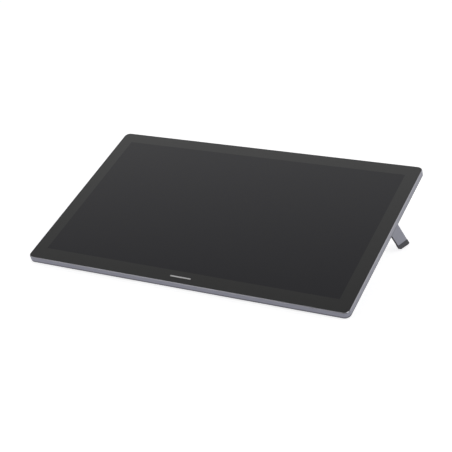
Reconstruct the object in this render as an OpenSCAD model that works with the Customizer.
// Pen display: a flat drawing monitor that stands on rubber strips under its front edge and on two
// flip-out legs behind. Millimetres. The display is drawn lying flat, with x along its width, y from
// its front edge to its rear edge and z = 0 at the rim's top, and placed() then leans it on its legs.

/* [Screen] */
// Width of the picture area
screen_w = 527; // [500:0.5:530]
// Depth of the picture area
screen_d = 296.4; // [281:0.1:298]
// From the front edge of the body to the picture area
screen_y = 26.6; // [24:0.1:30]

/* [Body] */
// Width of the body
body_w = 575; // [573:0.5:590]
// Depth of the body, from its front edge to its rear edge
body_d = 347.5; // [346:0.5:356]
// Thickness at the edge
edge_t = 11.8; // [11.8:0.1:12.4]
// Thickness over the raised middle of the back
back_t = 19.2; // [19.2:0.1:20.5]
// Radius of the corners in plan
corner_r = 10; // [9.5:0.5:14]
// Radius along the bottom edge of the side wall
bottom_r = 2; // [1:0.1:2.2]
// Width of the bright chamfer round the glass
chamfer = 1; // [0.5:0.1:1.1]
// Width of the metal rim that shows round the glass
rim_w = 1.2; // [1.2:0.05:1.6]
// Thickness of the side wall
wall_t = 2.4; // [2.2:0.1:2.6]

/* [Stand] */
// Lean of the screen when the legs are out, in degrees
tilt = 20; // [18:0.5:21]
// Width of a leg, across its length
leg_w = 26; // [24:0.5:29]
// Thickness of a leg
leg_t = 3.6; // [3:0.1:3.6]
// Backward slant of a leg from the square to the back, in degrees
leg_slant = 26; // [22:0.5:28]
// Distance of the hinge axis from the centre line
hinge_x = 263.5; // [262:0.5:264]
// Distance of the middle of the hinge from the front edge
hinge_y = 222.5; // [220:0.5:226]
// Height of the rubber on the middle of a leg's foot
tip_h = 13.8; // [8:0.5:16]
// Gap between the ground and the body's front edge
front_gap = 1.6; // [1:0.1:2]

/* [Mount] */
// Side of the square of mounting holes
mount_pitch = 100; // [75:25:100]
// Radius of a mounting hole, for an M4 screw
mount_hole_r = 2; // [1.9:0.05:2.1]

/* [Keys] */
// Length of a key
key_w = 14; // [10:0.5:15]
// Height of a key
key_h = 3; // [2.4:0.1:3]
// How far a key stands out of the wall
key_out = 0.5; // [0.3:0.05:0.8]

/* [Hidden] */

metal = [0.52, 0.52, 0.57];
steel = [0.72, 0.73, 0.75];
black = [0.1, 0.1, 0.11];
rubber = [0.17, 0.17, 0.18];
board_green = [0.08, 0.3, 0.2];

round_fn = 64;
fine = 0.01;
half_w = body_w / 2;
middle_y = body_d / 2;

// Heights of the layers, from the glass down
glass_top = -0.15;
glass_t = 1.1;
tape_t = 0.3;
ledge_t = 1.2;
glass_bottom = glass_top - glass_t;
ledge_top = glass_bottom - tape_t;
ledge_bottom = ledge_top - ledge_t;
panel_t = 1.4;
panel_bottom = glass_bottom - panel_t;
tray_top = -2.85;
film_t = 0.4;
guide_t = 2;
reflector_t = 0.2;
tray_floor_t = 0.5;
layer_gap = 0.05;
guide_top = tray_top - film_t - layer_gap;
reflector_top = guide_top - guide_t - layer_gap;
tray_floor_top = reflector_top - reflector_t - layer_gap;
tray_bottom = tray_floor_top - tray_floor_t;
digitizer_t = 0.6;
digitizer_top = tray_bottom - 0.1;
shield_t = 0.3;
shield_top = digitizer_top - digitizer_t - layer_gap;
chassis_top = -7.4;
chassis_bottom = -8.4;
cover_t = 1.6;

// The glass, the panel and the backlight in plan, each kept symmetrical about the picture area
glass_inset = rim_w + 0.15;
panel_border = 5;
panel_x = screen_w / 2 + panel_border;
panel_y = [screen_y - panel_border, screen_y + screen_d + panel_border];
tray_grow = 3;
tray_x = panel_x + tray_grow;
tray_y = [panel_y[0] - tray_grow, panel_y[1] + tray_grow];
tray_wall = 0.6;
opening_grow = 1;

// The raised middle of the back
hump_x = 273;
hump_y = [30, 320];
hump_r = 18;
hump_slope = 10;

// Ground plane: every point on it has y sin(tilt) + z cos(tilt) = ground_h
frame_low_h = bottom_r * sin(tilt) - (edge_t - bottom_r) * cos(tilt) - bottom_r;
ground_h = frame_low_h - front_gap;
front_y = chamfer * sin(tilt);
rear_y = (body_d - bottom_r) * cos(tilt) + (edge_t - bottom_r) * sin(tilt) + bottom_r;

// Hinges
hinge_z = -12.4;
knuckle_r = 2.6;
pin_r = 1.5;
pin_play = 0.05;
stop_gap = 0.1;
ear_r = 3.6;
ear_t = 3.6;
knuckle_half = 9;
ear_gap = 0.7;
washer_t = 0.4;
shoulder = 4.2;
tip_proud = 0.35;
tongue_t = 1.4;
tongue_inset = 3;
rubber_slope = 0.19;
toe_flat = 8;
toe_rise = 4.5;
toe_r = 2.6;
leg_x = [hinge_x + knuckle_r, hinge_x + knuckle_r + leg_t];
recess_floor = -14.2;
recess_play = 1.4;
pan_t = 1.4;

// Cover screws: where they stand in plan
screw_in = 8;
screw_in_y = 9;
side_screw_y = [20, 95, 174, 266, 327];
front_screw_x = [-245, 0, 245];
rear_screw_x = [-240, -110, 0, 110, 240];
screw_places = concat(
    [for (s = [-1, 1], y = side_screw_y) [s * (half_w - screw_in), y]],
    [for (x = front_screw_x) [x, screw_in_y]],
    [for (x = rear_screw_x) [x, body_d - screw_in_y]]
);
screw_r = 1.25;
screw_head_r = 2.4;
screw_head_t = 1.2;

// Port bay and boards
bay_half = 58;
bay_y = 296;
board_top = -12.5;
board_t = 1.2;
board_bottom = board_top - board_t;
board_x = 80;
board_y = [236, 293.5];
port_z = board_bottom - 1.6;
usb_x = [-32, 0];
usb_size = [8.94, 3.2];
video_x = 32;
video_size = [11.2, 3];
port_play = 0.6;
standoff_places = [for (x = [-74, 74], y = [242, 287]) [x, y]];

// Keys, on the rear wall to the right of the middle
key_z = -5.5;
key_play = 0.3;
key_flange = 1;
power_x = 212;
up_x = 182;
down_x = 164;
lamp_x = 226;
lamp_r = 0.8;
key_back_y = body_d - 4.6;
switch_t = 2.2;
switch_gap = 0.7;
key_board_y = key_back_y - switch_gap - switch_t - 1;

lock_y = 300;
lock_z = -6;
lock_size = [7, 3];

// Placing and small shapes

module placed() {
    translate([0, -(front_y + rear_y) / 2, -ground_h])
        rotate([tilt, 0, 0])
            children();
}

// A rounded rectangle from corner a to corner b
module rounded(a, b, r) {
    translate([a[0] + r, a[1]]) square([b[0] - a[0] - 2 * r, b[1] - a[1]]);
    translate([a[0], a[1] + r]) square([b[0] - a[0], b[1] - a[1] - 2 * r]);
    for (x = [a[0] + r, b[0] - r], y = [a[1] + r, b[1] - r])
        translate([x, y]) circle(r, $fn = round_fn);
}

// A rounded slab between two heights
module slab(a, b, r, low, high) {
    translate([0, 0, low]) linear_extrude(high - low) rounded(a, b, r);
}

// A plain box from corner a to corner b
module block(a, b) {
    translate(a) cube(b - a);
}

// Upright round bar between two heights
module post(place, r, low, high) {
    translate([place[0], place[1], low]) cylinder(h = high - low, r = r, $fn = round_fn);
}

// Round bar along y, on the hinge line of the right leg
module hinge_bar(r, y0, y1) {
    translate([hinge_x, y0, hinge_z]) rotate([-90, 0, 0]) cylinder(h = y1 - y0, r = r, $fn = round_fn);
}

// Extrudes a (y, z) drawing along x
module along_x(x0, x1) {
    translate([x0, 0, 0]) rotate([90, 0, 90]) linear_extrude(x1 - x0) children();
}

// Extrudes an (x, z) drawing along y
module along_y(y0, y1) {
    translate([0, y1, 0]) rotate([90, 0, 0]) linear_extrude(y1 - y0) children();
}

// The body's outline, stepped in by a distance
module body_slab(inset, low, high) {
    slab([-half_w + inset, inset], [half_w - inset, body_d - inset], corner_r - inset, low, high);
}

// Runs a wall section round the body. The section's x is the distance out from a corner's centre.
module body_ring() {
    ends = [half_w - corner_r, middle_y - corner_r];
    translate([0, middle_y, 0]) {
        for (quarter = [0 : 3]) {
            side = quarter % 2;
            corner = [[1, 1], [-1, 1], [-1, -1], [1, -1]][quarter];
            translate([corner[0] * ends[0], corner[1] * ends[1], 0])
                rotate([0, 0, 90 * quarter])
                    rotate_extrude(angle = 90, $fn = round_fn) children();
            rotate([0, 0, 90 * quarter])
                translate([ends[side], ends[1 - side], 0])
                    rotate([90, 0, 0]) linear_extrude(2 * ends[1 - side]) children();
        }
    }
}

// A rounded rectangle whose sides lean in: the outline at the base is x and y, and it narrows by slope
module hump(x, y, r, slope, base, top) {
    along_x(-x + r, x - r)
        polygon([[y[0], base], [y[0] + slope, top], [y[1] - slope, top], [y[1], base]]);
    along_y(y[0] + r, y[1] - r)
        polygon([[-x, base], [-x + slope, top], [x - slope, top], [x, base]]);
    for (sx = [-1, 1], cy = [y[0] + r, y[1] - r])
        translate([sx * (x - r), cy, top])
            cylinder(h = base - top, r1 = r - slope, r2 = r, $fn = round_fn);
}

// A flat bar with round ends, standing in the (x, z) plane and running along y
module lozenge_y(x, z, w, h, y0, y1) {
    along_y(y0, y1)
        translate([x, z]) {
            square([w - h, h], center = true);
            for (s = [-1, 1]) translate([s * (w - h) / 2, 0]) circle(h / 2, $fn = round_fn);
        }
}

// A flat bar with round ends, lying in plan along x
module lozenge(x, y, w, d, low, high) {
    slab([x - w / 2, y - d / 2], [x + w / 2, y + d / 2], d / 2 - fine, low, high);
}

module both_sides() {
    children();
    mirror([1, 0, 0]) children();
}

// The display stack

// Side wall section: chamfer above, round below, and a step that holds the glass
module wall_section() {
    outer = corner_r;
    inner = corner_r - wall_t;
    translate([outer - bottom_r, -edge_t + bottom_r]) intersection() {
        circle(bottom_r, $fn = round_fn);
        translate([0, -bottom_r]) square(bottom_r);
    }
    polygon([
        [outer - rim_w, 0], [outer - chamfer, 0], [outer, -chamfer], [outer, -edge_t + bottom_r],
        [outer - bottom_r, -edge_t + bottom_r], [outer - bottom_r, -edge_t], [inner, -edge_t],
        [inner, ledge_top], [outer - rim_w, ledge_top]
    ]);
}

module frame() {
    color(metal) difference() {
        union() {
            body_ring() wall_section();
            difference() {
                body_slab(wall_t - fine, ledge_bottom, ledge_top);
                slab([-panel_x - opening_grow, panel_y[0] - opening_grow],
                     [panel_x + opening_grow, panel_y[1] + opening_grow], 2, ledge_bottom - 1, ledge_top + 1);
            }
            for (p = screw_places) post(p, 3, chassis_top, ledge_bottom + fine);
        }
        for (p = screw_places) post(p, screw_r + 0.05, chassis_top - 1, ledge_bottom - 0.6);
        for (x = [power_x, up_x, down_x])
            lozenge_y(x, key_z, key_w + 2 * key_play, key_h + 2 * key_play, body_d - wall_t - 1, body_d + 1);
        translate([lamp_x, body_d - wall_t - 1, key_z]) rotate([-90, 0, 0])
            cylinder(h = wall_t + 2, r = lamp_r + 0.05, $fn = round_fn);
        block([-half_w - 1, lock_y - lock_size[0] / 2, lock_z - lock_size[1] / 2],
              [-half_w + wall_t + 1, lock_y + lock_size[0] / 2, lock_z + lock_size[1] / 2]);
    }
}

module cover_glass() {
    color(black) body_slab(glass_inset, glass_bottom, glass_top);
}

module glass_tape() {
    color(black) difference() {
        body_slab(wall_t + 0.4, ledge_top, glass_bottom);
        slab([-panel_x - 2, panel_y[0] - 2], [panel_x + 2, panel_y[1] + 2], 2, ledge_top - 1, glass_bottom + 1);
    }
}

module lcd_panel() {
    color(black) block([-panel_x, panel_y[0], panel_bottom], [panel_x, panel_y[1], glass_bottom]);
}

// A sheet that lies in the backlight tray, between two heights
module tray_sheet(low, high, front_room) {
    room = tray_wall + 0.4;
    block([-tray_x + room, tray_y[0] + room + front_room, low], [tray_x - room, tray_y[1] - room, high]);
}

led_room = 3.2;
led_count = 48;

module diffuser_sheets() {
    color("white") tray_sheet(tray_top - film_t, tray_top, led_room);
}

module light_guide() {
    color([0.85, 0.9, 0.92]) tray_sheet(guide_top - guide_t, guide_top, led_room);
}

module reflector_sheet() {
    color("white") tray_sheet(reflector_top - reflector_t, reflector_top, 0);
}

module led_strip() {
    strip_y = tray_y[0] + tray_wall + 0.4;
    pitch = (2 * tray_x - 20) / led_count;
    color([0.95, 0.93, 0.8]) {
        block([-tray_x + 4, strip_y, guide_top - guide_t], [tray_x - 4, strip_y + 1, guide_top]);
        for (k = [0 : led_count - 1])
            translate([-tray_x + 10 + pitch * (k + 0.5), strip_y + 1 - fine, guide_top - guide_t + 0.4])
                translate([-1.75, 0, 0]) cube([3.5, 1.2, 1.2]);
    }
}

module backlight_tray() {
    color(steel) difference() {
        block([-tray_x, tray_y[0], tray_bottom], [tray_x, tray_y[1], tray_top]);
        block([-tray_x + tray_wall, tray_y[0] + tray_wall, tray_floor_top],
              [tray_x - tray_wall, tray_y[1] - tray_wall, tray_top + 1]);
    }
}

module digitizer_board() {
    color(board_green)
        block([-tray_x + 1, tray_y[0] + 1, digitizer_top - digitizer_t], [tray_x - 1, tray_y[1] - 1, digitizer_top]);
}

// The slot that the digitizer's cable comes down through
slot_x = -140;
slot_w = 34;
slot_y = 298;

module cable_slot(low, high) {
    block([slot_x - slot_w / 2, slot_y, low], [slot_x + slot_w / 2, slot_y + 4, high]);
}

module shield_sheet() {
    color(steel) difference() {
        block([-tray_x + 1, tray_y[0] + 1, shield_top - shield_t], [tray_x - 1, tray_y[1] - 1, shield_top]);
        cable_slot(shield_top - 1, shield_top + 1);
    }
}

module chassis() {
    color(steel) difference() {
        slab([-half_w + 4, 4], [half_w - 4, body_d - 5.5], 6, chassis_bottom, chassis_top);
        for (p = screw_places) post(p, screw_r + 0.3, chassis_bottom - 1, chassis_top + 1);
        cable_slot(chassis_bottom - 1, chassis_top + 1);
    }
}

// Electronics under the chassis

module panel_board() {
    color(board_green) block([-150, 46, chassis_bottom - 1.2], [150, 60, chassis_bottom]);
    color(black) for (x = [-110 : 55 : 110])
        block([x - 9, 49, chassis_bottom - 2.2], [x + 9, 57, chassis_bottom - 1.2 + fine]);
}

// A flat cable with a plug at each end, lying along y under the chassis
module ribbon(x, w, y0, y1, top) {
    block([x - w / 2, y0, top - 0.3], [x + w / 2, y1, top]);
    for (y = [y0, y1 - 5]) block([x - w / 2 - 1, y, top - 1.4], [x + w / 2 + 1, y + 5, top - 0.3 + fine]);
}

module display_cable() {
    color([0.2, 0.3, 0.55]) ribbon(0, 24, 60.5, 232, chassis_bottom - 0.1);
}

module main_board() {
    color(board_green) difference() {
        block([-board_x, board_y[0], board_bottom], [board_x, board_y[1], board_top]);
        for (p = standoff_places) post(p, 1.3, board_bottom - 1, board_top + 1);
    }
}

module main_board_chips() {
    chips = [[-50, 250, 14], [-22, 246, 9], [22, 247, 12], [50, 262, 16], [54, 243, 7], [-56, 272, 8]];
    color(black) for (c = chips)
        block([c[0] - c[2] / 2, c[1] - c[2] / 2, board_bottom - 1.1],
              [c[0] + c[2] / 2, c[1] + c[2] / 2, board_bottom]);
}

processor_at = [-8, 262];

// A square plate over the processor, between two heights
module over_processor(side, side_y, low, high) {
    block([processor_at[0] - side / 2, processor_at[1] - side_y / 2, low],
          [processor_at[0] + side / 2, processor_at[1] + side_y / 2, high]);
}

module processor() {
    color(black) over_processor(21, 21, board_top, board_top + 1.2);
}

module thermal_pad() {
    color([0.55, 0.6, 0.75]) over_processor(20, 20, board_top + 1.2, chassis_bottom - 1.2);
}

module heat_spreader() {
    color([0.75, 0.45, 0.3]) over_processor(96, 44, chassis_bottom - 1.2, chassis_bottom);
}

module board_standoffs() {
    color(steel) for (p = standoff_places) difference() {
        post(p, 2.4, board_top, chassis_bottom);
        post(p, 1.05, board_top - 1, chassis_bottom - 1);
    }
}

module board_screws() {
    color(steel) for (p = standoff_places) {
        post(p, 1, board_bottom - fine, chassis_bottom - 1.4);
        post(p, 2.1, board_bottom - 1, board_bottom);
    }
}

module digitizer_controller() {
    color(board_green) block([-175, 246, chassis_bottom - 1.2], [-108, 292, chassis_bottom]);
    color(black) for (x = [-162, -142, -122])
        block([x - 6, 262, chassis_bottom - 2.3], [x + 6, 274, chassis_bottom - 1.2 + fine]);
}

// Folds from the controller up through the chassis slot to the digitizer board
module digitizer_cable() {
    w = slot_w - 6;
    color([0.7, 0.45, 0.15]) along_x(slot_x - w / 2, slot_x + w / 2)
        polygon([
            [286, chassis_bottom - 1.2], [slot_y + 1.9, chassis_bottom - 1.2],
            [slot_y + 1.9, digitizer_top - digitizer_t], [slot_y + 2.2, digitizer_top - digitizer_t],
            [slot_y + 2.2, chassis_bottom - 1.5], [286, chassis_bottom - 1.5]
        ]);
}

// A metal socket shell with a contact tongue
module port(x, size, tongue) {
    y0 = board_y[1] - 5;
    y1 = bay_y + 0.6;
    difference() {
        lozenge_y(x, port_z, size[0], size[1], y0, y1);
        lozenge_y(x, port_z, size[0] - 0.7, size[1] - 0.7, y0 + 1, y1 + 1);
    }
    block([x - tongue / 2, y0 + 1 - fine, port_z - 0.35], [x + tongue / 2, y1 - 1.2, port_z + 0.35]);
}

module usb_ports() {
    color(steel) for (x = usb_x) port(x, usb_size, 6.6);
}

module video_port() {
    color(steel) port(video_x, video_size, 8.4);
}

// The holes that the sockets look out of, through anything in the bay's wall
module port_holes(play) {
    y0 = bay_y - cover_t - 1;
    for (x = usb_x) lozenge_y(x, port_z, usb_size[0] + play, usb_size[1] + play, y0, bay_y + 3);
    lozenge_y(video_x, port_z, video_size[0] + play, video_size[1] + play, y0, bay_y + 3);
}

module port_bezel() {
    color(black) difference() {
        block([-bay_half + 0.2, bay_y, -back_t + 0.6], [bay_half - 0.2, bay_y + 1, -edge_t - 0.2]);
        port_holes(port_play);
    }
}

module key_board() {
    color(board_green) block([down_x - 12, key_board_y, chassis_top], [lamp_x + 5, key_board_y + 1, -3.1]);
}

module key_switches() {
    color(black) for (x = [power_x, up_x, down_x])
        block([x - 2.2, key_board_y + 1, key_z - 1.5], [x + 2.2, key_board_y + 1 + switch_t, key_z + 1.5]);
}

module key_cable() {
    color([0.7, 0.45, 0.15])
        block([down_x - 22, tray_y[1] + 1.4, chassis_top], [down_x - 14, body_d - 7.6, chassis_top + 0.3]);
}

module power_light_pipe() {
    color("white") translate([lamp_x, key_board_y + 1, key_z]) rotate([-90, 0, 0])
        cylinder(h = body_d - key_board_y - 1, r = lamp_r, $fn = round_fn);
}

module lock_plate() {
    x0 = -half_w + wall_t;
    color(steel) difference() {
        block([x0, lock_y - 8, chassis_top], [x0 + 1.5, lock_y + 8, ledge_bottom]);
        block([x0 - 1, lock_y - lock_size[0] / 2, lock_z - lock_size[1] / 2],
              [x0 + 3, lock_y + lock_size[0] / 2, lock_z + lock_size[1] / 2]);
    }
}

// Back cover

mount_places = [for (x = [-1, 1], y = [-1, 1]) [x * mount_pitch / 2, middle_y + y * mount_pitch / 2]];
insert_r = 4;
vent_rows = [288, 76];
vent_count = 11;
vent_pitch = 7;
vent_x = 103;
vent_size = [2.4, 15];

// The plan of a folded right leg, grown by a distance all round
module folded_leg(grow) {
    off = leg_w / 2 + grow;
    near = shoulder - grow;
    polygon([
        [hinge_x - near, side_y(-off, near)], folded(foot_point(-off, -grow)),
        folded(foot_point(off, -grow)), [hinge_x - near, side_y(off, near)]
    ]);
}

// Well in the cover that a right leg folds into, down to a height
module leg_well(grow, floor_z) {
    translate([0, 0, -back_t - 5]) linear_extrude(back_t + 5 + floor_z) folded_leg(recess_play + grow);
}

// Scoop beside a folded foot, so that a fingertip can lift it
module finger_scoop(grow) {
    post(folded(foot_point(0, 0)) + [-3, 4], 11 + grow, -back_t - 5, recess_floor + grow);
}

// Slot over the right hinge, open to the outside
module hinge_pocket() {
    block([hinge_x - 5.2, hinge_y - 19.5, -back_t - 5], [hinge_x + 8, hinge_y + 22.5, -edge_t + cover_t + 1]);
}

module vents(low, high) {
    half = vent_size / 2;
    for (side = [-1, 1], row = vent_rows, k = [0 : vent_count - 1]) {
        middle = [side * vent_x + (k - (vent_count - 1) / 2) * vent_pitch, row];
        slab(middle - half, middle + half, half[0] - fine, low, high);
    }
}

// The room inside the raised middle, less the wells, the bay and the bosses
module cover_room() {
    difference() {
        hump(hump_x - cover_t, [hump_y[0] + cover_t, hump_y[1] - cover_t], hump_r - cover_t, hump_slope,
             -edge_t + cover_t + 1, -back_t + cover_t);
        both_sides() {
            leg_well(pan_t, recess_floor + pan_t);
            finger_scoop(pan_t);
        }
        block([-bay_half - cover_t, bay_y - cover_t, -back_t], [bay_half + cover_t, body_d, 0]);
        for (p = mount_places) post(p, insert_r + 2.2, -back_t, 0);
    }
}

module back_cover() {
    seam = wall_t + 0.1;
    color(metal) difference() {
        union() {
            body_slab(seam, -edge_t, -edge_t + cover_t);
            hump(hump_x, hump_y, hump_r, hump_slope, -edge_t + fine, -back_t);
            for (p = screw_places) post(p, 3.2, -edge_t + fine, chassis_bottom);
        }
        cover_room();
        both_sides() {
            leg_well(0, recess_floor);
            finger_scoop(0);
            hinge_pocket();
        }
        block([-bay_half, bay_y, -back_t - 1], [bay_half, body_d - 20, -edge_t]);
        port_holes(port_play);
        for (p = mount_places) post(p, insert_r, -back_t - 1, 0);
        for (p = screw_places) {
            post(p, screw_r + 0.1, -edge_t - 1, 0);
            post(p, screw_head_r + 0.2, -edge_t - 1, -edge_t + screw_head_t);
        }
        vents(-back_t - 1, -back_t + cover_t + 1);
        for (p = pad_places) lozenge(p[0], p[1], pad_size[0], pad_size[1], -back_t - 1, -back_t + pad_sink);
    }
}

module mount_inserts() {
    color([0.78, 0.66, 0.4]) for (p = mount_places) difference() {
        post(p, insert_r, -back_t, chassis_bottom - 1);
        post(p, mount_hole_r, -back_t - 1, chassis_bottom - 2);
    }
}

module cover_screws() {
    color(steel) for (p = screw_places) difference() {
        union() {
            post(p, screw_head_r, -edge_t + 0.1, -edge_t + screw_head_t - fine);
            post(p, screw_r, -edge_t + 0.2, ledge_bottom - 0.8);
        }
        for (turn = [0, 90]) translate([p[0], p[1], -edge_t + 0.35]) rotate([0, 0, turn])
            cube([2.6, 0.6, 1], center = true);
    }
}

// Feet

strip_x = [72, 222];
strip_y = [5.5, 17.5];
strip_low = -17;
pad_size = [46, 9];
pad_sink = 0.4;
pad_out = 1.2;
pad_places = [for (x = [-200, 200], y = [52, 299]) [x, y]];

// Depth at which the ground lies under a place y
function ground_z(y) = (ground_h - y * sin(tilt)) / cos(tilt);

module front_strips() {
    bevel_y = (ground_h - strip_low * cos(tilt)) / sin(tilt);
    color(rubber) both_sides() along_x(strip_x[0], strip_x[1])
        polygon([
            [strip_y[0], -edge_t], [strip_y[0], ground_z(strip_y[0])], [bevel_y, strip_low],
            [strip_y[1] - 1, strip_low], [strip_y[1], strip_low + 1], [strip_y[1], -edge_t]
        ]);
}

module rest_pads() {
    color(rubber) for (p = pad_places)
        lozenge(p[0], p[1], pad_size[0] - 0.2, pad_size[1] - 0.2, -back_t - pad_out, -back_t + pad_sink);
}

// Legs and hinges: each is drawn for the right side and mirrored for the left

// Where a line along the leg, off to one side of its middle, meets the plane at a height over the ground
function foot_point(off, over) =
    let (
        lean = tan(leg_slant),
        start = hinge_y + off / cos(leg_slant) + hinge_z * lean,
        depth = (start * sin(tilt) - ground_h - over) / (cos(tilt) - lean * sin(tilt))
    ) [start + depth * lean, -depth];

// Height of the rubber's upper edge over the ground, off to one side of the leg's middle
function rubber_h(off) = tip_h - rubber_slope * off;

// A point on a foot's rounded front corner, from its underside (part 0) up to its front side (part 1)
function toe_point(side, part) =
    foot_point(side + toe_r * (1 - sin(90 * part)), toe_rise + toe_r * (1 - cos(90 * part)));

// Where a right leg's point in (y, z) lies in plan once the leg is folded
function folded(p) = [hinge_x + p[1] - hinge_z, p[0]];

// Place along y of a line along the leg, off to one side of its middle, at a distance from the hinge
function side_y(off, along) = hinge_y + off / cos(leg_slant) + along * tan(leg_slant);

// Tongue at the end of a right leg, which the rubber foot is moulded round
module right_tongue() {
    middle_x = (leg_x[0] + leg_x[1]) / 2;
    off = leg_w / 2 - tongue_inset;
    along_x(middle_x - tongue_t / 2, middle_x + tongue_t / 2)
        polygon([
            foot_point(-off, rubber_h(-off) + 1), foot_point(off, rubber_h(off) + 1),
            foot_point(off - tongue_inset, tongue_inset), foot_point(-off, tongue_inset + toe_rise)
        ]);
}

module right_leg() {
    difference() {
        union() {
            along_x(leg_x[0], leg_x[1])
                polygon([
                    [side_y(-leg_w / 2, shoulder), hinge_z - shoulder],
                    [side_y(leg_w / 2, shoulder), hinge_z - shoulder],
                    foot_point(leg_w / 2, rubber_h(leg_w / 2)), foot_point(-leg_w / 2, rubber_h(-leg_w / 2))
                ]);
            right_tongue();
            block([hinge_x, hinge_y - knuckle_half, hinge_z - knuckle_r],
                  [leg_x[1], hinge_y + knuckle_half, hinge_z + knuckle_r]);
            block([leg_x[0], hinge_y - knuckle_half, hinge_z - shoulder - 1],
                  [leg_x[1], hinge_y + knuckle_half, hinge_z]);
            hinge_bar(knuckle_r, hinge_y - knuckle_half, hinge_y + knuckle_half);
        }
        hinge_bar(pin_r + pin_play, hinge_y - knuckle_half - 1, hinge_y + knuckle_half + 1);
    }
}

// Rubber foot: flat on the ground at the rear when the leg is out, and rising from there to the front
module right_tip() {
    wide = leg_w / 2 + tip_proud;
    difference() {
        along_x(leg_x[0] - tip_proud, leg_x[1] + tip_proud)
            polygon([
                foot_point(-wide, rubber_h(-wide)), foot_point(wide, rubber_h(wide)),
                foot_point(wide, 2.4), foot_point(wide - 0.4, 1), foot_point(wide - 1.2, 0.25),
                foot_point(wide - 2.4, 0), foot_point(toe_flat, 0), for (k = [0 : 6]) toe_point(-wide, k / 6)
            ]);
        right_tongue();
    }
}

bracket_x = [hinge_x - 16, hinge_x + 13];
bracket_y = [hinge_y - 26, hinge_y + 26];
bracket_low = chassis_bottom - 1;
hinge_head_t = 0.6;
hinge_screw_places = [for (x = [hinge_x - 12, hinge_x + 10], y = [hinge_y - 22, hinge_y + 22]) [x, y]];
ear_ends = [knuckle_half + ear_gap, knuckle_half + ear_gap + ear_t];

// The two ears' spans along y
ear_spans = [for (s = [-1, 1])
    [hinge_y + min(s * ear_ends[0], s * ear_ends[1]), hinge_y + max(s * ear_ends[0], s * ear_ends[1])]];

module right_bracket() {
    difference() {
        union() {
            block([bracket_x[0], bracket_y[0], bracket_low], [bracket_x[1], bracket_y[1], chassis_bottom]);
            for (span = ear_spans) {
                hinge_bar(ear_r, span[0], span[1]);
                block([hinge_x - ear_r, span[0], hinge_z], [hinge_x + ear_r, span[1], bracket_low + fine]);
            }
            block([leg_x[0], hinge_y - 8, hinge_z + knuckle_r + stop_gap],
                  [leg_x[1] + 1, hinge_y + 8, bracket_low + fine]);
        }
        for (span = ear_spans) hinge_bar(pin_r, span[0] - 0.1, span[1] + 0.1);
        for (p = hinge_screw_places) post(p, 1.3, bracket_low - 1, chassis_bottom + 1);
    }
}

module right_pin() {
    hinge_bar(pin_r, hinge_y - ear_ends[1] - 0.6, hinge_y + ear_ends[1] + 0.6);
}

module right_washers() {
    for (s = [-1, 1])
        let (near = hinge_y + s * (ear_ends[0] - washer_t / 2)) difference() {
            hinge_bar(knuckle_r, near - washer_t / 2, near + washer_t / 2);
            hinge_bar(pin_r, near - washer_t, near + washer_t);
        }
}

module right_hinge_screws() {
    for (p = hinge_screw_places) {
        post(p, 1.2, bracket_low - fine, chassis_bottom - 0.1);
        post(p, 2.2, bracket_low - hinge_head_t, bracket_low);
    }
}

module hinge_bracket_left() { color(steel) mirror([1, 0, 0]) right_bracket(); }
module hinge_bracket_right() { color(steel) right_bracket(); }
module hinge_pin_left() { color(steel) mirror([1, 0, 0]) right_pin(); }
module hinge_pin_right() { color(steel) right_pin(); }
module friction_washers() { color("silver") both_sides() right_washers(); }
module hinge_screws() { color(steel) both_sides() right_hinge_screws(); }
module leg_left() { color(metal) mirror([1, 0, 0]) right_leg(); }
module leg_right() { color(metal) right_leg(); }
module leg_tip_left() { color(rubber) mirror([1, 0, 0]) right_tip(); }
module leg_tip_right() { color(rubber) right_tip(); }

// Keys

module key(x) {
    color(metal) {
        lozenge_y(x, key_z, key_w, key_h, key_back_y, body_d + key_out);
        lozenge_y(x, key_z, key_w + 2 * key_flange, key_h + key_flange, body_d - wall_t - 1.1, body_d - wall_t - 0.1);
    }
}

module power_key() { key(power_x); }
module brightness_up_key() { key(up_x); }
module brightness_down_key() { key(down_x); }

placed() frame();
placed() cover_glass();
placed() glass_tape();
placed() lcd_panel();
placed() diffuser_sheets();
placed() light_guide();
placed() reflector_sheet();
placed() led_strip();
placed() backlight_tray();
placed() digitizer_board();
placed() shield_sheet();
placed() chassis();
placed() panel_board();
placed() display_cable();
placed() main_board();
placed() main_board_chips();
placed() processor();
placed() thermal_pad();
placed() heat_spreader();
placed() board_standoffs();
placed() board_screws();
placed() digitizer_controller();
placed() digitizer_cable();
placed() usb_ports();
placed() video_port();
placed() port_bezel();
placed() key_board();
placed() key_switches();
placed() key_cable();
placed() power_light_pipe();
placed() lock_plate();
placed() back_cover();
placed() mount_inserts();
placed() cover_screws();
placed() front_strips();
placed() rest_pads();
placed() hinge_bracket_left();
placed() hinge_bracket_right();
placed() hinge_pin_left();
placed() hinge_pin_right();
placed() friction_washers();
placed() hinge_screws();
placed() leg_left();
placed() leg_right();
placed() leg_tip_left();
placed() leg_tip_right();
placed() power_key();
placed() brightness_up_key();
placed() brightness_down_key();
